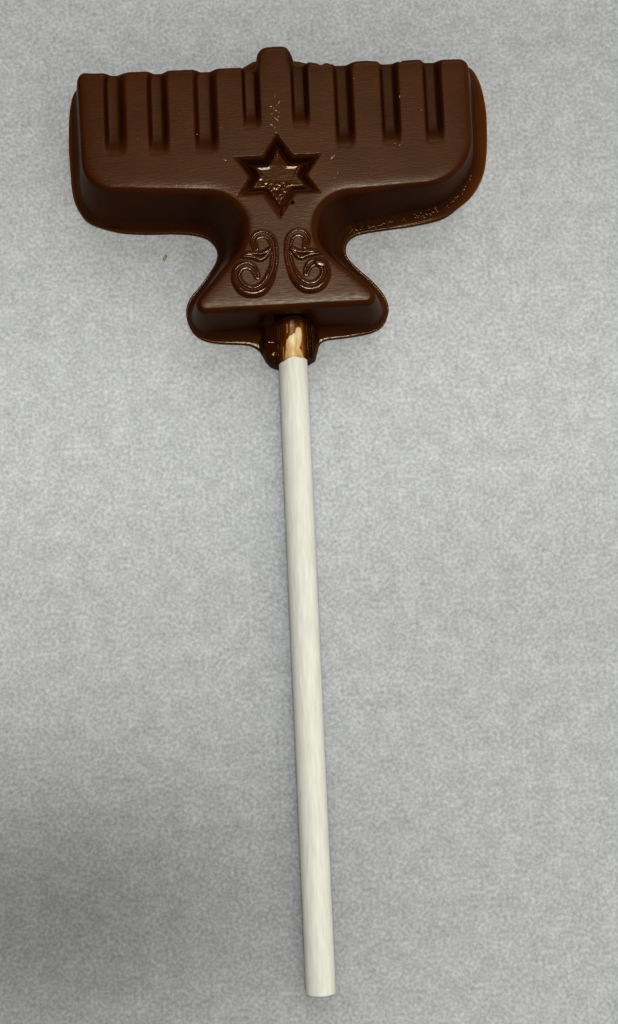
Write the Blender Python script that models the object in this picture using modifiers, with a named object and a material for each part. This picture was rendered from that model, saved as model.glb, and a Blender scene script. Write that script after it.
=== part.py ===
"""Chocolate lollipop: a moulded nine-candle stand in chocolate, on a rolled paper stick.

Metres, +Z up. The lollipop lies on its flat back on the plane z = 0 with the moulded face up.
The head points to +Y and the stick to -Y. The origin is the middle of the length and width.

The head's own measures are in millimetres from a datum on its flat back: x from the mould's
line of symmetry, and y from the foot of the wall at the front of the base.
"""
import math
from collections import namedtuple

import bmesh
import bpy
from mathutils import Vector

MM = 0.001

# The whole
STICK_OUT = 97.1            # from the stick's free end to the head's datum
RIM_TOP = 42.5              # from the datum to the far edge of the spilled rim
MIDDLE = (RIM_TOP - STICK_OUT) / 2
RELIEF_X = -0.1             # the moulded relief sits a little to the left of the walls
CLEARANCE = 0.3             # gap between the chocolate and the stick

# The paper stick
STICK_DIAMETER = 4.37
STICK_LENGTH = 114.3
STICK_X = 0.87              # it sits a little to the right of the mould's line of symmetry
STICK_EDGE = 0.25           # crushed edge at its cut ends

# The chocolate body
THICKNESS = 9.5             # from the flat back to the moulded face
EDGE_ROUNDING = 0.9         # where the walls meet the face
RIM_THICKNESS = 0.6         # chocolate that spilled over the mould's edge
RIM_ROUNDING = 0.25

# The grooves between the candles
CANDLE_PITCH = 6.63
GROOVE_WIDTH = 3.0
GROOVE_FLOOR = 1.3
GROOVE_DEPTH = 1.4
GROOVE_ROUNDING = 0.35
LONG_GROOVE_FROM = 25.1
SHORT_GROOVE_FROM = 28.5
GROOVE_TO = 46.0            # past the top wall, so that the groove opens through it
FLARE_FROM = 36.3           # the candles' tops are rounded, so the groove widens here
FLARE_TO = 37.6
FLARE = 0.9

# The star: a sunken ring between two six-pointed stars of the same middle
STAR_MIDDLE_Y = 20.95
STAR_HALF_WIDTH = 6.05
STAR_HALF_HEIGHT = 6.25
STAR_SHOULDER = 2.75        # height of its two level edges above and below the middle
STAR_RING = 1.4             # width of the ring, wall to wall at the face
STAR_DEPTH = 1.1
STAR_WALL = 0.4             # how far the ring's sloping walls lean in
STAR_RISE = -0.1            # top of the inner star against the face

# The pair of scrolls
SCROLL_RADIUS = 0.58
SCROLL_SINK = 0.18          # depth of the piping's middle line below the face
LEAF_RADIUS = 0.5

# The sleeve of chocolate round the stick
SLEEVE_LEFT = -3.75
SLEEVE_RIGHT = 4.75
SLEEVE_END = -5.1
SLEEVE_HEIGHT = 4.3
SLEEVE_LEAN = 0.7           # draft of its side walls
SLEEVE_END_LEAN = 0.3
SLEEVE_INSIDE = 3.0         # how far it runs on inside the head
SLEEVE_ROUNDING = 0.5
SLEEVE_RIM_LEFT = 1.9       # radius of the thin rim's hollow corners beside the sleeve
SLEEVE_RIM_RIGHT = 1.3
STEP_FROM = -2.05           # the left shoulder drops by a step here
STEP_DROP = 0.8

# A bend of the head's outline: the first and last angle of its outward direction in degrees,
# the number of straight pieces, and three circles (middle x, middle y, radius), one each for
# the spilled rim, the foot of the wall and the edge of the face.
Bend = namedtuple("Bend", "start end pieces rim foot face")

BENDS = [
    # right side, from the base to the top
    Bend(-90, 45, 9, (12.6, 2.5, 3.0), (12.8, 2.1, 2.1), (11.9, 2.95, 1.1)),         # base corner
    Bend(225, 90, 12, (12.0, 12.1, 2.7), (12.0, 12.1, 3.3), (10.0, 13.6, 5.0)),      # waist
    Bend(-84, 0, 10, (22.3, 26.4, 9.8), (22.2, 25.6, 8.2), (22.0, 26.0, 6.5)),       # end of the arm
    Bend(0, 90, 5, (27.6, 36.6, 4.5), (27.4, 36.8, 3.0), (27.2, 36.1, 1.3)),         # outer candle
    Bend(270, 180, 4, (4.6, 41.2, 0.6), (4.4, 40.8, 0.8), (3.8, 38.6, 1.1)),         # shoulder
    Bend(25, 90, 4, (1.6, 40.6, 1.9), (1.7, 40.2, 1.4), (1.2, 39.5, 1.0)),           # middle candle
    # left side, from the top to the base
    Bend(90, 155, 4, (-1.6, 40.6, 1.9), (-1.7, 40.2, 1.4), (-1.2, 39.5, 1.0)),       # middle candle
    Bend(360, 270, 4, (-4.6, 41.2, 0.6), (-4.4, 40.8, 0.8), (-3.8, 38.7, 1.1)),      # shoulder
    Bend(90, 180, 5, (-27.6, 36.6, 4.5), (-27.9, 37.0, 3.0), (-27.7, 36.4, 1.3)),    # outer candle
    Bend(180, 266, 10, (-26.1, 23.4, 6.0), (-25.7, 23.1, 5.2), (-24.2, 25.2, 4.5)),  # end of the arm
    Bend(90, -45, 12, (-13.2, 12.4, 3.2), (-13.2, 12.4, 3.8), (-10.6, 14.2, 5.5)),   # waist
    Bend(135, 270, 9, (-11.6, 2.8, 3.45), (-11.8, 2.6, 2.6), (-11.4, 2.95, 1.1)),    # base corner
]

# The right scroll's piping, from the hook over the stem into the swirl, as x and y.
# The last value thins the piping towards its two ends.
SCROLL_LINE = [
    (3.1, 10.7, 0.7),
    (3.6, 11.6, 1.0),
    (2.5, 12.3, 1.0),
    (1.1, 11.2, 1.0),
    (0.85, 8.6, 1.0),
    (1.7, 5.5, 1.0),
    (4.1, 4.1, 1.0),
    (6.2, 6.1, 1.0),
    (4.9, 7.9, 1.0),
    (3.7, 6.5, 0.7),
]
LEAF_LINE = [
    (1.5, 9.8, 0.6),
    (2.9, 8.9, 1.0),
    (5.1, 9.4, 0.3),
]


def clear_scene():
    """Removes what a new file starts with."""
    for thing in list(bpy.data.objects):
        bpy.data.objects.remove(thing, do_unlink=True)


def new_collection(name):
    """A collection linked to the scene."""
    collection = bpy.data.collections.new(name)
    bpy.context.scene.collection.children.link(collection)
    return collection


def material(name, color, roughness, metallic=0.0):
    """A Principled material of one colour."""
    made = bpy.data.materials.new(name)
    made.use_nodes = True
    shader = made.node_tree.nodes["Principled BSDF"]
    shader.inputs["Base Color"].default_value = (*color, 1.0)
    shader.inputs["Roughness"].default_value = roughness
    shader.inputs["Metallic"].default_value = metallic
    return made


def place(x, y, z):
    """A point of the head's own millimetres in the part's frame."""
    return Vector((x * MM, (y - MIDDLE) * MM, z * MM))


def add_object(name, mesh, collection):
    """A new object that shows the mesh."""
    thing = bpy.data.objects.new(name, mesh)
    collection.objects.link(thing)
    return thing


def hide_as_tool(thing):
    """Marks a body that only cuts or joins another."""
    thing.hide_render = True
    thing.display_type = "WIRE"


def loft(name, rings, collection):
    """A closed solid through rings of equally many points, with a flat cap at either end."""
    shape = bmesh.new()
    rows = []
    for ring in rings:
        rows.append([shape.verts.new(point) for point in ring])
    count = len(rows[0])
    for lower, upper in zip(rows, rows[1:]):
        for i in range(count):
            j = (i + 1) % count
            shape.faces.new((lower[i], lower[j], upper[j], upper[i]))
    shape.faces.new(list(reversed(rows[0])))
    shape.faces.new(rows[-1])
    bmesh.ops.recalc_face_normals(shape, faces=shape.faces)
    mesh = bpy.data.meshes.new(name)
    shape.to_mesh(mesh)
    shape.free()
    return add_object(name, mesh, collection)


def blend(a, b, share):
    """The value a share of the way from a to b."""
    return a + (b - a) * share


def arc(x, y, radius, start, end, pieces, z):
    """Points at height z along an arc about (x, y), from one angle in degrees to another."""
    points = []
    for i in range(pieces + 1):
        angle = math.radians(blend(start, end, i / pieces))
        points.append(place(x + radius * math.cos(angle), y + radius * math.sin(angle), z))
    return points


def outline(lower, upper, share, inset, z):
    """The head's outline between two of each bend's circles, moved in by an inset, at height z."""
    ring = []
    for bend in BENDS:
        x, y, radius = (blend(a, b, share) for a, b in zip(getattr(bend, lower), getattr(bend, upper)))
        hollow = bend.end < bend.start
        radius += inset if hollow else -inset
        ring += arc(x, y, radius, bend.start, bend.end, bend.pieces, z)
    return ring


def body_rings():
    """The outlines of the head from its flat back to its face."""
    rings = [
        outline("rim", "foot", 0.0, RIM_ROUNDING, 0.0),
        outline("rim", "foot", 0.0, 0.0, RIM_ROUNDING),
        outline("rim", "foot", 0.3, 0.0, RIM_THICKNESS),
        outline("foot", "face", RIM_THICKNESS / THICKNESS, 0.0, RIM_THICKNESS),
    ]
    steps = 4
    for i in range(steps + 1):
        angle = math.radians(90 * i / steps)
        z = THICKNESS - EDGE_ROUNDING * (1 - math.sin(angle))
        inset = EDGE_ROUNDING * (1 - math.cos(angle))
        rings.append(outline("foot", "face", z / THICKNESS, inset, z))
    return rings


def groove(name, x, start, collection):
    """A cutter for one groove, narrower at its floor, with rounded lower edges."""
    above = 0.6
    slope = (GROOVE_WIDTH - GROOVE_FLOOR) / 2 / GROOVE_DEPTH
    top = GROOVE_WIDTH / 2 + slope * above
    floor = GROOVE_FLOOR / 2
    lower = THICKNESS - GROOVE_DEPTH
    upper = THICKNESS + above
    rings = []
    for half, end, z in ((floor, start + top - floor, lower), (top, start, upper)):
        side = [(half, end), (half, FLARE_FROM), (half + FLARE, FLARE_TO), (half + FLARE, GROOVE_TO)]
        right = [place(x + away, y, z) for away, y in side]
        left = [place(x - away, y, z) for away, y in reversed(side)]
        rings.append(right + left)
    cutter = loft(name, rings, collection)
    rounding = cutter.modifiers.new("Rounding", "BEVEL")
    rounding.width = GROOVE_ROUNDING * MM
    rounding.segments = 2
    rounding.limit_method = "ANGLE"
    hide_as_tool(cutter)


def star_outline(inset, z):
    """A six-pointed star of two crossing triangles, with its edges moved in by an inset."""
    width, height, shoulder = STAR_HALF_WIDTH, STAR_HALF_HEIGHT, STAR_SHOULDER
    rise = height + shoulder
    side = math.hypot(width, rise)
    reach = width * height / side - inset
    level = shoulder - inset
    tip_y = reach * side / width
    tip_x = (reach * side + level * width) / rise
    notch_x = (reach * side - level * width) / rise
    waist_x = reach * side / rise
    quarter = [(waist_x, 0.0), (tip_x, level), (notch_x, level)]
    points = list(quarter)
    points.append((0.0, tip_y))
    points += [(-x, y) for x, y in reversed(quarter)]
    points += [(-x, -y) for x, y in quarter[1:]]
    points.append((0.0, -tip_y))
    points += [(x, -y) for x, y in reversed(quarter[1:])]
    return [place(RELIEF_X + x, STAR_MIDDLE_Y + y, z) for x, y in points]


def star_bodies(collection):
    """The well of the star and the smaller star that stands in it."""
    above = 0.5
    lean = STAR_WALL / STAR_DEPTH
    floor = THICKNESS - STAR_DEPTH
    well = loft("star_well", [
        star_outline(STAR_WALL, floor),
        star_outline(-lean * above, THICKNESS + above),
    ], collection)
    root = floor - above
    rise = THICKNESS + STAR_RISE
    inner = loft("star_inner", [
        star_outline(STAR_RING - lean * (rise - root), root),
        star_outline(STAR_RING, rise),
    ], collection)
    for body in (well, inner):
        hide_as_tool(body)
    return well, inner


def piping(name, line, side, radius, collection):
    """A round bead of chocolate along a smooth line, as a mesh, half sunk in the face."""
    curve = bpy.data.curves.new(name, "CURVE")
    curve.dimensions = "3D"
    curve.resolution_u = 5
    curve.bevel_depth = radius * MM
    curve.bevel_resolution = 2
    curve.use_fill_caps = True
    spline = curve.splines.new("BEZIER")
    spline.bezier_points.add(len(line) - 1)
    for knot, (x, y, share) in zip(spline.bezier_points, line):
        knot.co = place(RELIEF_X + side * x, y, THICKNESS - SCROLL_SINK)
        knot.radius = share
        knot.handle_left_type = "AUTO"
        knot.handle_right_type = "AUTO"
    guide = add_object(name + "_line", curve, collection)
    bpy.context.view_layer.update()
    evaluated = guide.evaluated_get(bpy.context.evaluated_depsgraph_get())
    mesh = bpy.data.meshes.new_from_object(evaluated)
    shape = bmesh.new()
    shape.from_mesh(mesh)
    bmesh.ops.remove_doubles(shape, verts=shape.verts, dist=0.01 * MM)
    bmesh.ops.recalc_face_normals(shape, faces=shape.faces)
    shape.to_mesh(mesh)
    shape.free()
    body = add_object(name, mesh, collection)
    body.matrix_world = guide.matrix_world.copy()
    bpy.data.objects.remove(guide, do_unlink=True)
    hide_as_tool(body)
    return body


def block(name, x0, x1, y0, y1, top, lean, end_lean, collection):
    """A block on the flat back that narrows upwards at its sides and its front end."""
    rings = []
    for share, z in ((0.0, 0.0), (1.0, top)):
        left = x0 + lean * share
        right = x1 - lean * share
        end = y0 + end_lean * share
        rings.append([place(left, end, z), place(right, end, z), place(right, y1, z), place(left, y1, z)])
    return loft(name, rings, collection)


def sleeve_rim(collection):
    """The spilled rim's hollow corners between the base and the sleeve."""
    left, right = BENDS[-1].rim, BENDS[0].rim
    inside = 1.0
    rings = []
    for z in (0.0, RIM_THICKNESS):
        low = left[1] - left[2] - SLEEVE_RIM_LEFT
        x = SLEEVE_LEFT - SLEEVE_RIM_LEFT
        ring = arc(x, low, SLEEVE_RIM_LEFT, 90, 0, 5, z)
        low = right[1] - right[2] - SLEEVE_RIM_RIGHT
        x = SLEEVE_RIGHT + SLEEVE_RIM_RIGHT
        ring += arc(x, low, SLEEVE_RIM_RIGHT, 180, 90, 5, z)
        ring += [place(x, inside, z), place(SLEEVE_LEFT - SLEEVE_RIM_LEFT, inside, z)]
        rings.append(ring)
    rim = loft("sleeve_rim", rings, collection)
    hide_as_tool(rim)
    return rim


def sleeve_bodies(collection):
    """The sleeve round the stick's entry, and the cutter of the step on its left shoulder."""
    sleeve = block("sleeve", SLEEVE_LEFT, SLEEVE_RIGHT, SLEEVE_END, SLEEVE_INSIDE,
                   SLEEVE_HEIGHT, SLEEVE_LEAN, SLEEVE_END_LEAN, collection)
    rounding = sleeve.modifiers.new("Rounding", "BEVEL")
    rounding.width = SLEEVE_ROUNDING * MM
    rounding.segments = 3
    rounding.limit_method = "ANGLE"
    rounding.angle_limit = math.radians(50)
    lower = SLEEVE_HEIGHT - STEP_DROP
    beyond = 1.0
    rings = []
    for z in (lower, SLEEVE_HEIGHT + beyond):
        rings.append([
            place(SLEEVE_LEFT - beyond, SLEEVE_END - beyond, z),
            place(STICK_X, SLEEVE_END - beyond, z),
            place(STICK_X, STEP_FROM, z),
            place(SLEEVE_LEFT - beyond, STEP_FROM, z),
        ])
    step = loft("sleeve_step", rings, collection)
    for body in (sleeve, step):
        hide_as_tool(body)
    return sleeve, step


def round_bar(name, diameter, start, end, sides, collection):
    """A cylinder along Y on the stick's axis, between two distances from the datum."""
    bpy.ops.mesh.primitive_cylinder_add(
        vertices=sides, radius=diameter / 2 * MM, depth=(end - start) * MM,
        location=place(STICK_X, (start + end) / 2, STICK_DIAMETER / 2),
        rotation=(math.radians(90), 0.0, 0.0))
    bar = bpy.context.object
    bar.name = name
    for home in list(bar.users_collection):
        home.objects.unlink(bar)
    collection.objects.link(bar)
    return bar


def combine(target, operation, tool):
    """Cuts or joins one body, or all the bodies of a collection, with EXACT Booleans."""
    step = target.modifiers.new(operation.title() + " " + tool.name, "BOOLEAN")
    step.operation = operation
    step.solver = "EXACT"
    if isinstance(tool, bpy.types.Collection):
        step.operand_type = "COLLECTION"
        step.collection = tool
    else:
        step.object = tool


def shade(thing, degrees):
    """Smooth shading with sharp edges above an angle."""
    thing.data.shade_smooth()
    thing.data.set_sharp_from_angle(angle=math.radians(degrees))


def make_head(parts, tools):
    """The moulded chocolate in one piece."""
    head = loft("chocolate_head", body_rings(), parts)
    head.data.materials.append(material("chocolate", (0.052, 0.020, 0.009), 0.38))

    grooves = bpy.data.collections.new("grooves")
    tools.children.link(grooves)
    for side in (-1, 1):
        for number in range(4):
            x = RELIEF_X + side * CANDLE_PITCH * (number + 0.53)
            start = SHORT_GROOVE_FROM if number == 0 else LONG_GROOVE_FROM
            groove(f"groove_{side * (number + 1):+d}", x, start, grooves)
    combine(head, "DIFFERENCE", grooves)

    well, inner = star_bodies(tools)
    combine(head, "DIFFERENCE", well)
    combine(head, "UNION", inner)

    for side, word in ((-1, "left"), (1, "right")):
        combine(head, "UNION", piping(f"scroll_{word}", SCROLL_LINE, side, SCROLL_RADIUS, tools))
        combine(head, "UNION", piping(f"leaf_{word}", LEAF_LINE, side, LEAF_RADIUS, tools))

    sleeve, step = sleeve_bodies(tools)
    combine(sleeve, "DIFFERENCE", step)
    combine(head, "UNION", sleeve)
    combine(head, "UNION", sleeve_rim(tools))

    bore = round_bar("stick_bore", STICK_DIAMETER + 2 * CLEARANCE, SLEEVE_END - 2,
                     STICK_LENGTH - STICK_OUT + CLEARANCE, 40, tools)
    hide_as_tool(bore)
    combine(head, "DIFFERENCE", bore)
    shade(head, 40)


def make_stick(parts):
    """The rolled paper stick, from its free end to its seat inside the chocolate."""
    stick = round_bar("paper_stick", STICK_DIAMETER, -STICK_OUT, STICK_LENGTH - STICK_OUT, 40, parts)
    stick.data.materials.append(material("paper", (0.78, 0.76, 0.68), 0.75))
    edge = stick.modifiers.new("Crushed edge", "BEVEL")
    edge.width = STICK_EDGE * MM
    edge.segments = 2
    edge.limit_method = "ANGLE"
    edge.angle_limit = math.radians(60)
    shade(stick, 40)


def main():
    clear_scene()
    parts = new_collection("chocolate_lollipop")
    tools = new_collection("cutters")
    make_head(parts, tools)
    make_stick(parts)


main()
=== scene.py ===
"""Looks of the chocolate lollipop: the moulded chocolate, the film on its stick, the paper stick,
the crumbs, the floor, the light and the camera. Lengths are in millimetres until a mesh is made."""

import math
from collections import namedtuple

import bpy
import numpy as np
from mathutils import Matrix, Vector, kdtree, noise
from mathutils.geometry import delaunay_2d_cdt


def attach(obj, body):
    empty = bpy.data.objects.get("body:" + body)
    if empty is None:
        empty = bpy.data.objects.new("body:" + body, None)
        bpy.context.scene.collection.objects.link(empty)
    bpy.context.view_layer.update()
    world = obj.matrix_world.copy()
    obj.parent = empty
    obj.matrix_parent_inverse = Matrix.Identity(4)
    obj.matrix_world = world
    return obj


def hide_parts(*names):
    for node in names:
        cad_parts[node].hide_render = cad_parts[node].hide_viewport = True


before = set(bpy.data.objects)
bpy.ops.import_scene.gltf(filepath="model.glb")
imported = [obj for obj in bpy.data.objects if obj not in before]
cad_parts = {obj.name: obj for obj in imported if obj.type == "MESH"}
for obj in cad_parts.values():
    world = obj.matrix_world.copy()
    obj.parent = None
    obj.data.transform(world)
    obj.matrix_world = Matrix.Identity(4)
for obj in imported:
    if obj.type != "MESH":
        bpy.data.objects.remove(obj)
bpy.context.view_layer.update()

MM = 0.001
MIDDLE = -27.3              # the part's origin, measured from the head's datum

# The head's own measures, as in the part's source
THICKNESS = 9.5
SMALLEST_BEND = 0.15
FACE_FALL = 0.05            # how far and how widely the face falls off towards its edge
FACE_FALL_WIDTH = 2.6
EDGE_TURN = math.pi / 2 - math.atan(3.0 * FACE_FALL / FACE_FALL_WIDTH)
RELIEF_X = -0.1
STICK_X = 0.87
STICK_RADIUS = 2.185

# A bend of the head's outline: whether it is hollow, the rounding of the face's edge there, and
# three circles (middle x, middle y, radius), one each for the spilled rim, the foot of the wall and
# the edge of the face.
Bend = namedtuple("Bend", "hollow edge rim foot face")

BENDS = [
    # right side, from the base to the top
    Bend(False, 0.75, (12.6, 2.5, 3.0), (12.7, 2.2, 2.4), (11.9, 2.65, 1.25)),      # base corner
    Bend(True, 0.9, (12.0, 12.1, 2.7), (12.0, 12.1, 3.3), (10.2, 12.9, 5.1)),       # waist
    Bend(False, 0.65, (22.3, 26.4, 9.8), (20.4, 27.0, 9.8), (21.0, 26.2, 7.5)),     # end of the arm
    Bend(False, 0.65, (27.6, 36.6, 4.5), (27.4, 36.8, 3.0), (27.2, 36.25, 1.3)),    # outer candle
    Bend(True, 0.6, (4.6, 41.2, 0.6), (4.6, 40.9, 0.8), (3.6, 38.7, 0.85)),         # shoulder
    Bend(False, 0.8, (1.5, 40.2, 2.3), (1.4, 39.7, 2.0), (1.0, 39.05, 1.75)),       # middle candle
    # left side, from the top to the base
    Bend(False, 0.8, (-1.2, 40.2, 2.3), (-1.1, 39.7, 2.0), (-0.8, 39.0, 1.75)),     # middle candle
    Bend(True, 0.6, (-4.6, 41.2, 0.6), (-4.4, 40.9, 0.8), (-3.3, 38.5, 0.85)),      # shoulder
    Bend(False, 0.65, (-27.6, 36.6, 4.5), (-27.9, 37.0, 3.0), (-27.7, 36.45, 1.3)), # outer candle
    Bend(False, 0.65, (-26.1, 23.4, 6.0), (-24.8, 23.2, 6.1), (-23.9, 24.7, 4.8)),  # end of the arm
    Bend(True, 0.9, (-13.2, 12.4, 3.2), (-13.4, 12.6, 3.9), (-10.8, 13.35, 5.5)),   # waist
    Bend(False, 0.75, (-11.6, 2.8, 3.45), (-11.8, 2.5, 2.7), (-11.4, 2.5, 1.3)),    # base corner
]

# The edge of the spilled rim on the floor, once round from the stick's right
RIM_LINE = [
    # the front of the base
    (0.5, -3.4), (4.0, -3.3), (4.65, -2.9), (5.05, -2.2), (5.6, -1.8), (6.5, -1.6), (9.1, -1.4),
    (11.8, -1.05), (13.4, -0.65), (14.8, 0.3), (15.7, 2.5),
    # the right side of the waist
    (15.3, 4.6), (13.7, 6.9), (11.1, 9.5), (9.8, 11.2), (9.7, 12.7), (10.5, 13.9), (12.3, 14.6),
    # the right arm
    (16.5, 15.1), (20.3, 15.5), (24.5, 16.35), (27.0, 17.9), (29.4, 19.9), (31.15, 22.8), (31.95, 26.3),
    (32.25, 31.0), (32.15, 34.3), (31.4, 38.0), (29.8, 40.3), (26.0, 40.9), (10.0, 41.0),
    # behind the middle candle, with its scraps
    (6.0, 41.2), (5.2, 41.5), (4.4, 41.9), (3.4, 42.3), (1.0, 42.5), (-1.5, 42.6), (-3.0, 42.6),
    (-4.0, 42.15), (-5.0, 41.6), (-5.9, 41.2), (-7.0, 41.05),
    # the left arm
    (-10.0, 41.0), (-26.0, 40.9), (-30.3, 39.6), (-31.7, 36.6), (-32.1, 31.0), (-32.0, 26.6),
    (-31.7, 22.6), (-30.8, 20.0), (-29.1, 18.0), (-25.0, 16.5), (-20.9, 16.0), (-16.0, 15.85),
    # the left side of the waist
    (-12.9, 15.4), (-11.0, 14.5), (-10.0, 12.8), (-10.4, 10.9), (-12.6, 7.8), (-14.5, 5.5),
    (-15.05, 3.3),
    # the left corner of the base
    (-14.4, 0.9), (-13.0, -0.6), (-10.6, -1.4), (-6.5, -1.8), (-5.1, -2.2), (-4.1, -2.95), (-3.5, -3.6),
]

# The rounded edge of the spilled rim as insets and heights, and the slope up from it as shares of
# the way in and heights
BEAD = [(0.25, 0.0), (0.1, 0.03), (0.02, 0.1), (0.0, 0.17), (0.03, 0.28), (0.1, 0.38), (0.2, 0.42)]
RIM_SLOPE = [(0.2, 0.4), (0.4, 0.41), (0.6, 0.46), (0.8, 0.54)]
AMBER_SHARES = [1.0, 1.0, 1.0, 1.0, 1.0, 1.0, 0.9, 0.8, 0.7, 0.6, 0.4, 0.2, 0.05]    # ring by ring
FILLET_WIDTH = 0.7          # the hollow between rim and wall, at most
FILLET_SHARE = 0.6          # and at most this share of the rim's width
FILLET_START = 0.63
FILLET_RISE = 0.67
FILLET_RINGS = 7
FOOT_HEIGHT = 1.3           # where the wall begins
WALL_RINGS = 21
EDGE_RINGS = 9              # over the rounded edge of the face
RIM_RINGS = len(BEAD) + len(RIM_SLOPE) + FILLET_RINGS - 1

ARC_STEP = 0.22             # spacing of the outline's points on its bends and on its straight runs
RUN_STEP = 0.2
GRID_CLEARANCE = 0.12       # between the outline and the face's grid
SLIVER = 2e-4               # twice the area of the smallest triangle that is kept

# The grooves between the candles: the x of their left edge, of the two sides of their floor and of
# their right edge, and the y where they start
GROOVES = [
    (-25.3, -24.7, -23.35, -21.9, 24.9),
    (-18.9, -18.3, -16.9, -15.7, 24.7),
    (-12.1, -11.4, -9.8, -8.5, 24.6),
    (-4.9, -4.4, -3.15, -2.1, 28.0),
    (2.3, 2.8, 4.1, 5.0, 28.0),
    (8.6, 9.15, 10.45, 11.55, 24.6),
    (15.4, 15.95, 17.25, 18.3, 24.7),
    (21.75, 22.3, 23.5, 24.65, 24.7),
]
GROOVE_DEPTH = 1.15
GROOVE_RAMP = 3.6           # length of the slope at a groove's front end
GROOVE_FADES_AT = 2.0       # height at which a groove no longer shows on the wall behind it
FLARE = 0.5                 # how much wider a groove becomes towards its back end, and from where
FLARE_FROM = 35.6
FLARE_TO = 38.6

# The star
STAR_MIDDLE_Y = 20.95
STAR_HALF_WIDTH = 6.05
STAR_HALF_HEIGHT = 6.25
STAR_SHOULDER = 2.75
STAR_RING = 1.22            # width of the sunken ring
STAR_WIDER = 0.3            # how much wider the ring is above
STAR_DEEPEST = 0.72         # how far in the ring is deepest
STAR_DEPTH = 1.3
STAR_DROP = 0.12            # how far the smaller star lies below the face
STAR_LIP = 0.07             # height of the lip round the smaller star
STAR_SOFTNESS = 0.3         # rounding of the star's points and notches
RIPPLE = 0.03               # height of the ripples on the smaller star

# Small chips at the back edges of some candles: x, y, radius and depth
CHIPS = [
    (6.9, 38.0, 0.55, 0.5), (8.3, 38.0, 0.35, 0.35), (5.6, 38.3, 0.3, 0.3), (18.6, 37.9, 0.4, 0.35),
    (-21.9, 38.0, 0.3, 0.25),
]

# Bulges at the back of some candles: x, half width and how far back
BULGES = [(13.3, 1.6, 0.2), (5.0, 0.9, 0.25), (21.0, 1.5, 0.12), (-28.6, 1.2, 0.2)]

# Gloss, from -1 for matte to 1. Below 0 it also darkens the chocolate's colour as painted shade: on the
# walls and on the grooves' floors and sides, more on the right.
FACE_EDGE_GLOSS = 0.2
WALL_GLOSS = -0.12
GROOVE_GLOSS = -0.2         # of the floors on the left, and how much less on the right
GROOVE_FADE = 0.5
GROOVE_SIDES = 0.6          # how much less on the sides of the grooves
RIM_GLOSS = 0.75
BEAD_GLOSS = 0.9            # on the rings over the top of the rim's rounded edge
BEAD_RINGS = (4, 8)

# The scrolls: x and y of the line between their two crests, how far they reach outwards there and
# how far each crest lies from that line
SCROLL_RIGHT = [
    (3.35, 10.3, 0.5, 0.22), (3.6, 11.0, 0.62, 0.3), (3.5, 11.75, 0.72, 0.36), (2.95, 12.3, 0.78, 0.38),
    (2.15, 12.35, 0.78, 0.38), (1.4, 11.85, 0.76, 0.38), (1.0, 11.0, 0.74, 0.36),
    (0.88, 10.0, 0.72, 0.34), (0.88, 9.0, 0.72, 0.34), (1.02, 7.9, 0.76, 0.35), (1.3, 6.9, 0.82, 0.37),
    (1.75, 5.95, 0.92, 0.39), (2.4, 5.1, 1.08, 0.41), (3.2, 4.55, 1.27, 0.42), (4.1, 4.42, 1.38, 0.42),
    (5.0, 4.7, 1.27, 0.42), (5.75, 5.4, 1.02, 0.4), (6.1, 6.2, 0.88, 0.38), (6.02, 7.05, 0.85, 0.37),
    (5.5, 7.7, 0.85, 0.36), (4.65, 7.9, 0.82, 0.36), (3.9, 7.5, 0.76, 0.34), (3.5, 6.8, 0.66, 0.28),
    (3.3, 6.2, 0.5, 0.18),
]
LEAF_RIGHT = [
    (1.5, 9.95, 0.5, 0.12), (2.1, 9.4, 0.7, 0.24), (2.75, 9.05, 0.85, 0.4), (3.4, 9.2, 0.8, 0.3),
    (4.2, 9.32, 0.7, 0.19), (5.4, 9.3, 0.45, 0.1),
]
LEFT_STRETCH = 1.07         # how much wider the left scroll is, and how far lower its bottom lies
LEFT_LOWER = 0.3
SCROLL_CRESTS = (0.06, 0.36)    # the crests' height where the scroll is slim and where it is wide
LEAF_CRESTS = (0.24, 0.24)
CREST_HALF = 0.15           # half the width of a crest's level part
CREST_DOME = 0.014
INNER_REACH = 0.85
CREASE = 0.75               # depth of the line between the crests, as a share of their height


def blend(a, b, share):
    """The value a share of the way from a to b."""
    return a + (b - a) * share


def smooth_step(start, end, value):
    """0 below start and 1 above end, with a soft change between them."""
    share = np.clip((value - start) / (end - start), 0.0, 1.0)
    return share * share * (3.0 - 2.0 * share)


def smooth_min(a, b, softness):
    """The lower of two heights, rounded where they meet."""
    share = np.clip(0.5 + 0.5 * (b - a) / softness, 0.0, 1.0)
    return b + (a - b) * share - softness * share * (1.0 - share)


def noise_at(points, scale, seed):
    """Soft noise between about -1 and 1 at an array of points, with features of the scale's size."""
    shift = Vector((seed * 17.3, seed * 7.1, seed * 3.7))
    return np.array([noise.noise(Vector(point) / scale + shift) for point in points])


def flat_noise(x, y, scale, seed):
    """Soft noise over the plane."""
    return noise_at(np.stack([x, y, 0.0 * x], axis=1), scale, seed)


def on_arms(y):
    """1 along the front of the two arms and 0 elsewhere."""
    return smooth_step(12.0, 15.0, y) * smooth_step(26.0, 22.0, y)


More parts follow.
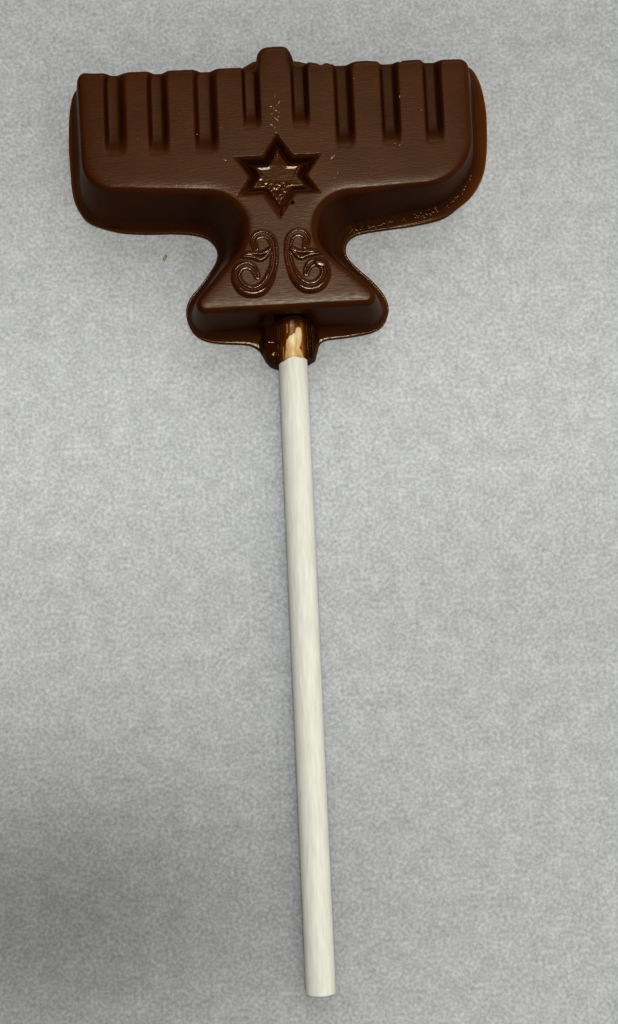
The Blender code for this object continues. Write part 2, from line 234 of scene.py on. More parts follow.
def circles(lower, upper, shares, insets):
    """Each bend's circle between two of its three, with the radius negative where it is hollow."""
    rounds = []
    for bend, share in zip(BENDS, np.broadcast_to(shares, len(BENDS))):
        x, y, radius = (blend(a, b, share) for a, b in zip(getattr(bend, lower), getattr(bend, upper)))
        rounds.append((x, y, -radius if bend.hollow else radius))
    moved = []
    insets = np.broadcast_to(insets, len(BENDS))
    for (x, y, radius), (start, end), inset in zip(rounds, bend_angles(rounds), insets):
        missing = SMALLEST_BEND - (radius - inset)
        if radius > 0 and missing > 0:
            # The circle moves inwards until its two straight neighbours are inset as well.
            shift = missing / (1.0 + math.cos(end - start))
            x -= shift * (math.cos(start) + math.cos(end))
            y -= shift * (math.sin(start) + math.sin(end))
            radius = SMALLEST_BEND + inset
        moved.append((x, y, radius - inset))
    return moved


def tangent_angle(first, second):
    """The outward direction of the straight run from one circle to the next."""
    across = second[0] - first[0]
    along = second[1] - first[1]
    share = (first[2] - second[2]) / math.hypot(across, along)
    return math.atan2(along, across) - math.acos(max(-1.0, min(1.0, share)))


def bend_angles(rounds):
    """The outward direction in which each bend starts and ends."""
    angles = []
    for i, circle in enumerate(rounds):
        start = tangent_angle(rounds[i - 1], circle)
        end = tangent_angle(circle, rounds[(i + 1) % len(rounds)])
        turn = (end - start + math.pi) % (2 * math.pi) - math.pi
        angles.append((start, start + turn))
    return angles


def on_circle(circle, angle):
    """The point of a circle in a direction from its middle."""
    x, y, radius = circle
    return x + radius * math.cos(angle), y + radius * math.sin(angle)


def outline_pieces():
    """How many pieces each bend and each straight run of the outline has."""
    rounds = circles("foot", "foot", 0.0, 0.0)
    pieces = []
    for circle, after, (start, end) in zip(rounds, rounds[1:] + rounds[:1], bend_angles(rounds)):
        bend_length = abs(circle[2] * (end - start))
        run_length = math.dist(on_circle(circle, end), on_circle(after, end))
        pieces.append((max(4, round(bend_length / ARC_STEP)), max(1, round(run_length / RUN_STEP))))
    return pieces


PIECES = outline_pieces()


def run_between(here, there, pieces):
    """The points that divide a straight run into pieces, without its ends."""
    return here + (there - here) * (np.arange(1, pieces) / pieces)[:, None]


def outline(lower, upper, shares, insets, heights):
    """The head's outline between two of each bend's circles, moved in by an inset, as x, y and z.

    The share, the inset and the height are each one number or one for every bend."""
    rounds = circles(lower, upper, shares, insets)
    heights = np.broadcast_to(heights, len(BENDS))
    points = []
    for i, ((x, y, radius), angles) in enumerate(zip(rounds, bend_angles(rounds))):
        bend_pieces, run_pieces = PIECES[i]
        turn = np.linspace(*angles, bend_pieces + 1)
        level = np.full(len(turn), heights[i])
        points.append(np.stack([x + radius * np.cos(turn), y + radius * np.sin(turn), level], axis=1))
        after = (i + 1) % len(rounds)
        there = np.array([*on_circle(rounds[after], angles[1]), heights[after]])
        points.append(run_between(points[-1][-1], there, run_pieces))
    return np.concatenate(points)


def outward_directions(ring):
    """The level direction out of a ring at each of its points."""
    along = (np.roll(ring, -1, axis=0) - np.roll(ring, 1, axis=0))[:, :2]
    return np.stack([along[:, 1], -along[:, 0]], axis=1) / np.linalg.norm(along, axis=1)[:, None]


def spilled_edge(ring):
    """A ring moved sideways onto the line where the spilled rim ends."""
    line = smooth_line([(x, y, 0.0) for x, y in RIM_LINE + RIM_LINE[:1]], 0.15)[:-1, :2]
    outwards = outward_directions(ring)
    moved = ring.copy()
    for attempt in range(5):
        moved[:, :2] += outwards * distance_inside(moved[:, 0], moved[:, 1], line)[:, None]
    return moved


def head_rings():
    """The head's rings of points from the flat back to the face."""
    foot = outline("foot", "foot", 0.0, 0.0, FOOT_HEIGHT)
    rim = spilled_edge(outline("rim", "foot", 0.0, 0.0, 0.0))
    outwards = rim - foot
    outwards[:, 2] = 0.0
    outwards /= np.linalg.norm(outwards, axis=1)[:, None]
    rings = [rim - inset * outwards + np.array([0.0, 0.0, z]) for inset, z in BEAD]
    level = rim - BEAD[-1][0] * outwards
    wide = np.hypot(*(level - foot)[:, :2].T)
    start = foot + np.minimum(FILLET_WIDTH, FILLET_SHARE * wide)[:, None] * outwards
    for share, z in RIM_SLOPE:
        ring = blend(level, start, share)
        ring[:, 2] = z
        rings.append(ring)
    for share in np.linspace(0.0, 1.0, FILLET_RINGS):
        ring = blend(start, foot, share)
        ring[:, 2] = FILLET_START + FILLET_RISE * share ** 2.2
        rings.append(ring)
    edges = np.array([bend.edge for bend in BENDS])
    top = THICKNESS - FACE_FALL
    for share in np.linspace(0.0, 1.0, WALL_RINGS + 1)[1:]:
        heights = blend(FOOT_HEIGHT, top - edges * math.sin(EDGE_TURN), share)
        rings.append(outline("foot", "face", heights / THICKNESS, 0.0, heights))
    for angle in EDGE_TURN * np.arange(1, EDGE_RINGS + 1) / EDGE_RINGS:
        heights = top - edges * (math.sin(EDGE_TURN) - math.sin(angle))
        insets = edges * (1.0 - math.cos(angle))
        rings.append(outline("foot", "face", heights / THICKNESS, insets, heights))
    return rings


def outline_length():
    """How many points the head's outline has."""
    return sum(bend_pieces + run_pieces for bend_pieces, run_pieces in PIECES)


def flat_tree(points):
    """A search tree of points as seen from above."""
    tree = kdtree.KDTree(len(points))
    for i, point in enumerate(points):
        tree.insert((point[0], point[1], 0.0), i)
    tree.balance()
    return tree


def distance_to(points, ring):
    """The distance of each point to the nearest point of a ring, seen from above."""
    tree = flat_tree(ring)
    return np.array([tree.find((point[0], point[1], 0.0))[2] for point in points])


def soft_distance(points, ring):
    """The distance to a ring of evenly spaced points, made smooth along the lines midway between
    two of its sides."""
    plain = distance_to(points, ring)
    beside = plain < 1.0
    plain[beside] = np.abs(distance_inside(points[beside, 0], points[beside, 1], ring[:, :2]))
    soft = plain.copy()
    near = np.nonzero((plain > 0.3) & (plain < 2.0 * FACE_FALL_WIDTH))[0]
    steps = np.hypot(*(np.roll(ring, -1, axis=0) - ring)[:, :2].T)
    for part in np.array_split(near, max(1, len(near) // 4000)):
        away = points[part, None, :2] - ring[None, :, :2]
        pull = (steps / (away ** 2).sum(axis=2) ** 1.5).sum(axis=1)
        soft[part] = np.sqrt(2.0 / pull)
    return blend(plain, soft, smooth_step(0.3, 0.9, plain))


def inside(points, ring):
    """Which points lie inside a closed ring."""
    found = np.zeros(len(points), bool)
    x, y = points[:, 0], points[:, 1]
    for (x0, y0), (x1, y1) in zip(ring, np.roll(ring, -1, axis=0)):
        if y0 == y1:
            continue
        crosses = (y0 > y) != (y1 > y)
        found ^= crosses & (x < (x1 - x0) * (y - y0) / (y1 - y0) + x0)
    return found


def lines_between(stops):
    """Grid lines over several stretches, each given as its end and the spacing up to it."""
    lines = [stops[0][0]]
    for end, step in stops[1:]:
        start = lines[-1]
        count = max(1, round((end - start) / step))
        lines += list(start + (end - start) * np.arange(1, count + 1) / count)
    return np.array(lines)


def face_grid():
    """The grid lines of the face: close together over the grooves, the star and the scrolls."""
    stops = [(-30.0, 0.0)]
    for groove in GROOVES:
        if groove[0] < -8.0 or groove[0] > 8.0:
            stops += [(groove[0] - 0.3, 0.4), (groove[3] + 0.3, 0.15)]
        elif groove[0] < 0.0:
            stops += [(-8.0, 0.4), (7.8, 0.08)]
    stops += [(30.0, 0.25)]
    across = lines_between(stops)
    rows = [(0.5, 0.0), (2.4, 0.16), (13.4, 0.08), (27.4, 0.1), (36.0, 0.25), (38.5, 0.16), (42.0, 0.25)]
    return across, lines_between(rows)


def fill_ring(ring, first, across, along):
    """Points and faces that fill a ring, whose own points start at index first, on a grid."""
    grid_x, grid_y = np.meshgrid(across, along, indexing="ij")
    points = np.stack([grid_x.ravel(), grid_y.ravel()], axis=1)
    good = inside(points, ring)
    good[good] = distance_to(points[good], ring) > GRID_CLEARANCE
    good = good.reshape(grid_x.shape)
    cells = good[:-1, :-1] & good[1:, :-1] & good[:-1, 1:] & good[1:, 1:]
    padded = np.pad(cells, 1)
    neighbours = np.zeros(good.shape, int)
    for di in (0, 1):
        for dj in (0, 1):
            neighbours += padded[di:di + good.shape[0], dj:dj + good.shape[1]]
    used = neighbours > 0
    index = np.full(good.shape, -1)
    index[used] = np.arange(used.sum()) + first + len(ring)
    inner = np.stack([grid_x[used], grid_y[used]], axis=1)
    i, j = np.nonzero(cells)
    quads = np.stack([index[i, j], index[i + 1, j], index[i + 1, j + 1], index[i, j + 1]], axis=1)
    border = list(zip(*np.nonzero(used & (neighbours < 4))))
    names = list(range(first, first + len(ring))) + [int(index[spot]) for spot in border]
    triangles = [[names[k] for k in face] for face in fill_band(ring, border, cells, across, along)]
    return inner, quads.tolist() + triangles


def fill_band(ring, border, cells, across, along):
    """The triangles between a ring and the border of the grid's cells within it. They number the
    ring's points first and the border's after them."""
    # Every second point is moved out a hair, as three points in one line would give a sliver.
    bent = ring + 0.002 * outward_directions(ring) * (np.arange(len(ring)) % 2)[:, None]
    flat = [Vector(point) for point in bent] + [Vector((across[i], along[j])) for i, j in border]
    numbers = {spot: len(ring) + number for number, spot in enumerate(border)}
    padded = np.pad(cells, 1)
    edges = [(i, (i + 1) % len(ring)) for i in range(len(ring))]
    for i, j in border:
        for di, dj in ((1, 0), (0, 1)):
            at_border = padded[i + 1, j + 1] != padded[i + 1 - dj, j + 1 - di]
            if at_border and (i + di, j + dj) in numbers:
                edges.append((numbers[(i, j)], numbers[(i + di, j + dj)]))
    made = delaunay_2d_cdt(flat, edges, [], 0, 1e-7)
    faces = np.array(made[2])
    corners = np.array([made[0][k] for k in faces.ravel()]).reshape(-1, 3, 2)
    middles = corners.mean(axis=1)
    a, b = corners[:, 1] - corners[:, 0], corners[:, 2] - corners[:, 0]
    keep = inside(middles, bent) & (np.abs(a[:, 0] * b[:, 1] - a[:, 1] * b[:, 0]) > SLIVER)
    i = np.clip(np.searchsorted(across, middles[:, 0]) - 1, 0, cells.shape[0] - 1)
    j = np.clip(np.searchsorted(along, middles[:, 1]) - 1, 0, cells.shape[1] - 1)
    keep &= ~cells[i, j]
    return [[made[3][k][0] for k in face] for face in faces[keep]]


def groove_depth(x, y):
    """How deep the grooves are below the face."""
    depth = np.zeros(len(x))
    flare = FLARE * smooth_step(FLARE_FROM, FLARE_TO, y) ** 2
    for left, floor_left, floor_right, right, start in GROOVES:
        # The outer grooves on the left have a gentler left side towards the back.
        ease = 0.9 * smooth_step(FLARE_FROM, FLARE_TO, y) ** 2 * (left < -6.0)
        rising = smooth_step(left - flare * (left > -4.0), floor_left + ease, x)
        falling = smooth_step(right + flare * (left != GROOVES[3][0]), floor_right, x)
        along = smooth_step(start, start + GROOVE_RAMP, y)
        hollow = 1.0 - 0.06 * ((x - 0.5 * (floor_left + floor_right)) / (floor_right - floor_left)) ** 2
        depth = np.maximum(depth, GROOVE_DEPTH * rising * falling * along * hollow)
    return depth


def star_inset(x, y):
    """How far a point lies inside the edge of the star."""
    rise = STAR_HALF_HEIGHT + STAR_SHOULDER
    side = math.hypot(STAR_HALF_WIDTH, rise)
    reach = STAR_HALF_WIDTH * STAR_HALF_HEIGHT / side
    x = np.abs(x - RELIEF_X)
    y = y - STAR_MIDDLE_Y
    inset = np.full(len(x), -50.0)
    for way in (1, -1):
        slanted = (rise * x + STAR_HALF_WIDTH * way * y) / side - reach
        level = -way * y - STAR_SHOULDER - 0.25 * (way < 0)
        outside = -smooth_min(-slanted, -level, STAR_SOFTNESS)
        inset = -smooth_min(-inset, outside, STAR_SOFTNESS)
    return inset


def star_height(x, y):
    """The height of the star's sunken ring and of the smaller star within it."""
    inset = star_inset(x, y)
    ring = STAR_RING + STAR_WIDER * smooth_step(20.0, 22.5, y) * smooth_step(25.6, 23.6, y)
    deepest_at = STAR_DEEPEST + 0.5 * (ring - STAR_RING)
    down = np.clip(inset / deepest_at, 0.0, 1.0)
    up = 1.0 - (1.0 - np.clip((inset - deepest_at) / (ring + 0.05 - deepest_at), 0.0, 1.0)) ** 1.6
    upper = smooth_step(20.5, 22.0, y)
    lip = STAR_LIP * blend(0.1, 1.0, upper) * np.exp(-((inset - ring - 0.08) / 0.2) ** 2)
    within = inset > 0.5
    px, py = x[within], y[within]
    calm = 0.25 * flat_noise(0.8 * px, py, 0.8, 3)
    broken = flat_noise(0.8 * px, py, 0.33, 4) + flat_noise(0.8 * px, py, 0.6, 3)
    rough = np.zeros(len(x))
    rough[within] = RIPPLE * blend(calm, broken, smooth_step(20.6, 19.6, py + 0.25 * px))
    inner = STAR_DROP - lip - rough * smooth_step(ring - 0.3, ring + 0.2, inset)
    deepest = STAR_DEPTH * blend(0.38, 1.0, smooth_step(17.0, 22.5, y))
    depth = deepest * down + (inner - deepest) * up * down
    return np.where(inset > -0.1, THICKNESS - depth, THICKNESS + 1.0)


def star_bead(x, y):
    """1 along a small shiny bead in the star's lowest point and 0 away from it."""
    along = np.clip((0.3 * (x - 0.2) + 1.15 * (y - 15.15)) / 1.41, 0.0, 1.0)
    away = np.hypot(x - 0.2 - 0.3 * along, y - 15.15 - 1.15 * along)
    return np.exp(-(away / 0.14) ** 2)


def pinhole(x, y):
    """The depth of the small bubble hole beside the star's lower point."""
    return 0.6 * smooth_step(0.27, 0.12, np.hypot(x - 1.8, y - 16.9))


def chips(x, y):
    """The depth of the small chips at the back edges of some candles."""
    deep = np.zeros(len(x))
    for chip_x, chip_y, radius, depth in CHIPS:
        away = np.hypot(x - chip_x, 0.7 * (y - chip_y))
        deep = np.maximum(deep, depth * smooth_step(radius, 0.4 * radius, away))
    return deep


def smooth_line(knots, step):
    """Points about a step apart along a smooth line through the knots."""
    knots = np.array(knots, float)
    ends = np.vstack([2 * knots[0] - knots[1], knots, 2 * knots[-1] - knots[-2]])
    points = []
    for a, b, c, d in zip(ends, ends[1:], ends[2:], ends[3:]):
        count = max(2, round(math.dist(b[:2], c[:2]) / step))
        for t in np.arange(count) / count:
            points.append(0.5 * (2 * b + (c - a) * t + (2 * a - 5 * b + 4 * c - d) * t ** 2
                                 + (3 * b - a - 3 * c + d) * t ** 3))
    points.append(knots[-1])
    return np.array(points)


def ridge_height(x, y, knots, outer, heights):
    """The height above the face of a double ridge along a line, which reaches further on its outer
    side: to the right of the line's direction for 1 and to the left for -1. Also how glossy it is."""
    line = smooth_line(knots, 0.06)
    lowest, highest = line.min(axis=0) - 1.6, line.max(axis=0) + 1.6
    near = (x > lowest[0]) & (x < highest[0]) & (y > lowest[1]) & (y < highest[1])
    px, py = x[near], y[near]
    away = np.full(len(px), 9.0)
    reach = np.ones(len(px))
    crest = np.ones(len(px))
    steps = np.gradient(line, axis=0)
    for (lx, ly, half, spread), (step_x, step_y, _, _) in zip(line, steps):
        distance = np.hypot(px - lx, py - ly)
        side = outer * (step_y * (px - lx) - step_x * (py - ly))
        closer = distance < away
        away = np.where(closer, distance, away)
        reach = np.where(closer, np.where(side > 0, half, min(half, INNER_REACH)), reach)
        crest = np.where(closer, spread, crest)
    height = blend(*heights, smooth_step(0.75, 1.15, reach))
    outwards = np.clip((away - crest - CREST_HALF) / (reach - crest - CREST_HALF), 0.0, 1.0)
    flank = blend(1.0 - outwards, np.cos(0.5 * np.pi * outwards) ** 2, 0.5)
    flank = smooth_min(flank, 1.0 - CREST_DOME * ((away - crest) / CREST_HALF) ** 2 / height, 0.06)
    width = np.maximum(crest - CREST_HALF, 0.0)
    inwards = np.clip((width - away) / np.maximum(width, 0.05), 0.0, 1.0)
    groove = CREASE * smooth_step(0.0, 0.24, width) * smooth_min(1.35 * inwards, 1.0, 0.25)
    raised, gloss = np.zeros(len(x)), np.zeros(len(x))
    raised[near] = height * np.clip(flank - groove, 0.0, 1.0)
    gloss[near] = smooth_step(CREST_HALF + 0.1, CREST_HALF, np.abs(away - crest))
    return raised, gloss


def mirrored(knots):
    """The knots on the other side of the relief's middle line."""
    moved = []
    for x, y, half, spread in knots:
        lower = LEFT_LOWER * smooth_step(9.0, 4.5, y)
        moved.append((2 * RELIEF_X - x * LEFT_STRETCH, y - lower, half, spread))
    return moved


def crease_line():
    """The foot of the right arm's wall, where the chocolate is ragged."""
    foot = outline("foot", "foot", 0.0, 0.0, FOOT_HEIGHT)[:, :2]
    return foot[(foot[:, 0] > 10.0) & (foot[:, 1] > 14.9) & (foot[:, 1] < 22.6)]


def wall_foot_crease(x, y):
    """1 along the ragged line and 0 away from it."""
    found = np.zeros(len(x))
    near = (x > 9.0) & (x < 31.0) & (y > 13.5) & (y < 24.0)
    away = distance_to(np.stack([x[near], y[near]], axis=1), crease_line())
    found[near] = smooth_step(0.6, 0.25, away)
    return found


def smeared_spot(x, y):
    """The height of the patch where the right scroll's upper bend was smeared flat."""
    away = np.hypot((x - 5.5) * 0.8 + (y - 7.8) * 0.3, y - 7.8)
    return 0.21 - 0.11 * away ** 2 - 0.6 * np.maximum(away - 0.6, 0.0)


def raised_scrolls(x, y):
    """The height of the scrolls and their leaves above the face, and how glossy their crests are."""
    raised, gloss = np.zeros(len(x)), np.zeros(len(x))
    for knots, heights in ((SCROLL_RIGHT, SCROLL_CRESTS), (LEAF_RIGHT, LEAF_CRESTS)):
        for side_knots, outer in ((knots, 1), (mirrored(knots), -1)):
            height, shine = ridge_height(x, y, side_knots, outer, heights)
            gloss = np.where(height > raised, shine, gloss)
            raised = np.maximum(raised, height)
    spot = smeared_spot(x, y)
    gloss = np.maximum(gloss, 0.6 * smooth_step(0.12, 0.18, spot))
    return -smooth_min(-raised, -spot, 0.06), gloss


def star_gloss(x, y, gloss):
    """The gloss with the star's own: matte in its ring, glossy inside it and on its upper edges. The matte
    ring is also painted darker, most of all in its upper part: painted shade.
    """
    inset = star_inset(x, y)
    near = (y > 13.0) & (y < 29.0)
    trench = smooth_step(0.15, 0.4, inset) * smooth_step(STAR_RING + 0.1, STAR_RING - 0.2, inset)
    gloss = blend(gloss, -0.2 - 0.7 * smooth_step(19.0, 22.5, y), trench * near)
    shoulder = np.exp(-((inset - STAR_RING - 0.3) / 0.3) ** 2) * smooth_step(20.0, 21.0, y)
    scraped = smooth_step(20.4, 19.8, y) * smooth_step(3.2, 2.2, np.abs(x))
    shine = blend(0.6, 1.0, np.maximum(shoulder, scraped))
    gloss = blend(gloss, shine, smooth_step(STAR_RING - 0.2, STAR_RING + 0.1, inset) * near)
    gloss = blend(gloss, 1.0, np.exp(-(inset / 0.22) ** 2) * smooth_step(22.8, 23.3, y) * near)
    return blend(gloss, 1.0, star_bead(x, y))


def head_gloss(x, y, z, first, off_edge, gloss):
    """The gloss of the head's points, over that of the crests. Where it is below 0, on the walls and in
    the grooves, it also paints the colour darker as painted shade. The face's inner points start at index
    first, and off_edge is how far they lie from its edge."""
    sheen = FACE_EDGE_GLOSS + 0.35 * on_arms(y) * smooth_step(4.0, -4.0, x)
    gloss[first:] += sheen[first:] * smooth_step(1.4, 0.1, off_edge)
    below_edge = smooth_step(THICKNESS - 0.1, THICKNESS - 1.0, z[:first])
    gloss[:first] = blend(sheen[:first], WALL_GLOSS, below_edge)
    count = outline_length()
    gloss[:RIM_RINGS * count] = RIM_GLOSS
    gloss[BEAD_RINGS[0] * count:BEAD_RINGS[1] * count] = BEAD_GLOSS
    depth = groove_depth(x, y)
    floor = GROOVE_GLOSS - GROOVE_FADE * smooth_step(-4.0, 6.0, x)
    gloss = blend(gloss, floor, smooth_step(0.1, 0.6, depth) * (z > 6.0))
    gloss -= GROOVE_SIDES * soft_band(0.25, 0.9, 0.15, depth) * (z > 6.0)
    return star_gloss(x, y, gloss)


def relief(points, first):
    """Presses the grooves, the star and the scrolls into the head's smooth points, whose face's
    inner points start at index first. Also how glossy each point is."""
    x, y, z = points[:, 0], points[:, 1], points[:, 2].copy()
    off_edge = soft_distance(points[first:], points[first - outline_length():first])
    wide = FACE_FALL_WIDTH * (1.0 - 0.35 * on_arms(y[first:]))
    z[first:] -= FACE_FALL * np.clip(1.0 - off_edge / wide, 0.0, 1.0) ** 3
    z -= groove_depth(x, y) * np.clip((z - GROOVE_FADES_AT) / (THICKNESS - GROOVE_FADES_AT), 0.0, 1.0)
    z = smooth_min(z, star_height(x, y), 0.2 + 0.25 * smooth_step(22.5, 23.5, y))
    z += 0.3 * star_bead(x, y) - pinhole(x, y) * (z > 9.0) - chips(x, y) * (z > 7.0)
    raised, crests = raised_scrolls(x, y)
    z[first:] += raised[first:]
    gloss = head_gloss(x, y, z, first, off_edge, crests)
    ragged = wall_foot_crease(x, y) * smooth_step(2.2, 1.6, z)
    z += 0.32 * ragged * np.maximum(noise_at(np.stack([x, y, z], axis=1), 0.42, 31) + 0.15, 0.0)
    z += 0.014 * flat_noise(x, y, 4.5, 21) * smooth_step(THICKNESS - 2.0, THICKNESS, z)
    return np.column_stack([x, y, z]), blend(gloss, 0.9, ragged)


def band_faces(low, high, count):
    """The faces between two rings, whose points start at low and at high."""
    return [(low + i, low + (i + 1) % count, high + (i + 1) % count, high + i) for i in range(count)]


def lofted(rings, across, along, top):
    """The points and faces of a body through rings of points, closed below and filled on top."""
    count = len(rings[0])
    faces = []
    for level in range(len(rings) - 1):
        faces += band_faces(level * count, (level + 1) * count, count)
    faces.append(tuple(reversed(range(count))))
    inner, filling = fill_ring(rings[-1][:, :2], (len(rings) - 1) * count, across, along)
    points = np.concatenate([*rings, np.column_stack([inner, np.full(len(inner), top)])])
    return points, faces + filling


def back_bulges(points):
    """Pushes the tops of some candles a little further back."""
    x, y, z = points.T
    push = sum(back * np.exp(-((x - middle) / half) ** 2) for middle, half, back in BULGES)
    return np.column_stack([x, y + push * smooth_step(36.0, 38.0, y), z])


def niche(points):
    """Hollows the front wall a little where the stick enters."""
    x, y, z = points.T
    across = smooth_step(-3.9, -2.6, x) * smooth_step(4.4, 0.8, x)
    up = smooth_step(3.4, 4.4, z) * smooth_step(7.2, 5.9, z)
    deep = 1.6 * across * up * smooth_step(3.0, 2.0, y)
    return np.column_stack([x, y + deep, z])


def head_shape():
    """The points and faces of the moulded head, how glossy it is and how thin at its rim."""
    rings = head_rings()
    points, faces = lofted(rings, *face_grid(), THICKNESS)
    thin = amber_edge(points, len(rings[0]))
    points, gloss = relief(points, len(rings) * len(rings[0]))
    return niche(back_bulges(points)), faces, gloss, thin


def amber_edge(points, count):
    """How thin the spilled rim is. It lets some light through at its edge, most of all on the right."""
    thin = np.zeros(len(points))
    for level, share in enumerate(AMBER_SHARES):
        ring = points[level * count:(level + 1) * count]
        right = smooth_step(26.0, 31.0, ring[:, 0]) * smooth_step(16.0, 22.0, ring[:, 1])
        left = smooth_step(-28.0, -30.5, ring[:, 0])
        amber = (0.04 * share + 0.2 * share ** 6) * right + 0.13 * share * left
        thin[level * count:(level + 1) * count] = 0.2 * share + amber
    return thin


# The sleeve of chocolate round the stick
SLEEVE_CORNERS = [
    (-3.6, -3.9), (-3.2, -4.7), (-2.5, -5.45), (-1.3, -5.9), (3.2, -5.3), (4.2, -4.75), (4.8, -2.7),
    (5.1, -1.3), (5.1, 2.6), (-4.2, 2.6), (-4.2, -2.6),
]
SLEEVE_ROUNDING = 0.35      # of its corners seen from above
SLEEVE_TOP = 4.4
SLEEVE_TOP_ROUNDING = 0.5
SLEEVE_LEAN = 0.55          # how far its sides lean in up to the top
SLEEVE_STEP = 0.1           # spacing of its outline's points
SLEEVE_GRID = 0.07          # spacing of the grid on top

# The height of the chocolate beside the stick, as x and height to its left and to its right
LEFT_LEVELS = [
    (-4.4, 0.3), (-3.7, 0.8), (-3.25, 2.0), (-3.05, 2.4), (-2.85, 2.45), (-1.3, 3.35), (-1.0, 3.7),
]
RIGHT_LEVELS = [
    (3.0, 3.3), (3.2, 3.3), (3.35, 3.2), (3.5, 2.3), (3.65, 2.3), (3.8, 2.7), (4.2, 2.4), (4.5, 1.7),
    (5.0, 0.3),
]
STEP_Y = -2.5               # where it drops towards the front, left of the stick

# The front end of the film on the stick as x and y, and the torn window in it
FILM_FRONT = [(-1.3, -5.75), (0.2, -5.3), (1.0, -5.1), (1.8, -5.0), (2.3, -5.3), (3.05, -5.65)]
WINDOW = [
    (1.8, -0.25), (2.3, -0.6), (2.35, -1.6), (2.3, -2.6), (1.95, -3.4), (2.25, -4.1), (2.45, -4.7),
    (2.9, -5.4), (2.7, -7.0), (-0.7, -7.0), (-0.5, -5.6), (-0.3, -4.6), (-0.2, -3.4), (0.05, -2.2),
    (0.75, -1.5), (1.35, -1.2), (1.5, -0.5),
]


def rounded_corners(corners, radius, inset, step):
    """Points along a closed outline with rounded corners, moved in by an inset."""
    corners = np.array(corners, float)
    rounds = []
    for before, here, after in zip(np.roll(corners, 1, axis=0), corners, np.roll(corners, -1, axis=0)):
        a = (here - before) / np.linalg.norm(here - before)
        b = (after - here) / np.linalg.norm(after - here)
        first, second = np.array([a[1], -a[0]]), np.array([b[1], -b[0]])
        middle = here - radius * (first + second) / (1.0 + first @ second)
        rounds.append((middle, math.atan2(first[1], first[0]), math.atan2(second[1], second[0])))
    size = max(radius - inset, 0.05)
    bends = []
    for middle, start, end in rounds:
        turn = (end - start) % (2 * math.pi)
        angles = np.linspace(start, start + turn, max(2, round(radius * turn / step)) + 1)
        shift = (inset - radius + size) / (1.0 + math.cos(turn))
        both = np.array([math.cos(start) + math.cos(end), math.sin(start) + math.sin(end)])
        bends.append(middle - shift * both + size * np.stack([np.cos(angles), np.sin(angles)], axis=1))
    ring = []
    for i, bend in enumerate(bends):
        after = (i + 1) % len(bends)
        pieces = max(1, round(math.dist(rounds[i][0], rounds[after][0]) / step))
        ring += [bend, run_between(bend[-1], bends[after][0], pieces)]
    return np.concatenate(ring)


def stick_top(x):
    """The height of the stick's upper surface."""
    away = np.clip(np.abs(x - STICK_X) / STICK_RADIUS, 0.0, 1.0)
    return STICK_RADIUS + STICK_RADIUS * np.sqrt(1.0 - away ** 2)


def distance_inside(x, y, corners):
    """How far points lie inside a closed outline, and negative outside it."""
    points = np.stack([x, y], axis=1)
    nearest = np.full(len(x), 99.0)
    corners = np.array(corners, float)
    for a, b in zip(corners, np.roll(corners, -1, axis=0)):
        along = np.clip(((points - a) @ (b - a)) / ((b - a) @ (b - a)), 0.0, 1.0)[:, None]
        nearest = np.minimum(nearest, np.linalg.norm(points - a - along * (b - a), axis=1))
    return np.where(inside(points, corners), nearest, -nearest)


def soft_band(low, high, softness, value):
    """1 between two values and 0 outside them."""
    rising = smooth_step(low - softness, low + softness, value)
    return rising * smooth_step(high + softness, high - softness, value)


def level_along(x, knots):
    """The height at each x of a line through knots of x and height."""
    return np.interp(x, *zip(*knots))


def film_thinness(x, y):
    """How thin the film on the stick is, from 0 for solid chocolate to 1 for bare paper. Two narrow
    lighter lines along the stick are painted highlights, where the film is also made a little thinner.
    """
    smears = flat_noise(3.0 * x, y, 1.1, 5) + 0.5 * flat_noise(3.0 * x, y, 0.4, 6)
    thin = 0.36 + 0.1 * smears
    thin = blend(thin, 0.60 - 0.25 * smooth_step(2.3, 3.0, x) + 0.05 * smears, smooth_step(1.9, 2.3, x))
    tan = soft_band(0.6, 1.6, 0.4, x) * soft_band(-2.0, 0.2, 0.4, y)
    thin = blend(thin, 0.56 + 0.05 * smears, tan)
    # Painted highlights along the stick: lighter film colour in two narrow lines, which also thins the
    # film there.
    painted_highlight_strip = soft_band(-0.62, -0.36, 0.08, x) * soft_band(-5.4, -3.0, 0.3, y)
    painted_highlight_streak = soft_band(0.14, 0.34, 0.06, x) * soft_band(-1.3, 0.3, 0.15, y)
    thin = np.maximum(thin, 0.74 * painted_highlight_strip)
    thin = np.maximum(thin, 0.76 * painted_highlight_streak)
    bare = smooth_step(-0.14, 0.16, distance_inside(x, y, WINDOW) + 0.08 * smears)
    thin = blend(thin, 0.87 + 0.12 * smooth_step(-3.2, -1.6, y) + 0.1 * smears, bare)
    return np.clip(thin * (1.0 - 0.35 * smooth_step(0.0, 0.5, y)), 0.0, 1.0)


def sleeve_level(x, y):
    """The height of the chocolate beside the stick."""
    level = np.where(x < 1.0, level_along(x, LEFT_LEVELS), level_along(x, RIGHT_LEVELS))
    from_step = y + 0.06 * x - STEP_Y
    level += 0.55 * (x < 0.0) * smooth_step(-0.12, 0.05, from_step) * smooth_step(-3.6, -3.0, x)
    ledge = soft_band(-0.05, 0.3, 0.08, from_step) * soft_band(-2.9, -1.6, 0.15, x)
    level = blend(level, 3.2 + 0.05 * from_step, ledge)
    level = blend(level, 2.95, 0.95 * soft_band(-2.45, -1.2, 0.15, x) * soft_band(-5.0, -3.6, 0.2, y))
    fillet = blend(0.5, 1.6, smooth_step(-1.5, 0.5, x)) * smooth_step(-0.5, 2.4, y) ** 2
    return level + fillet


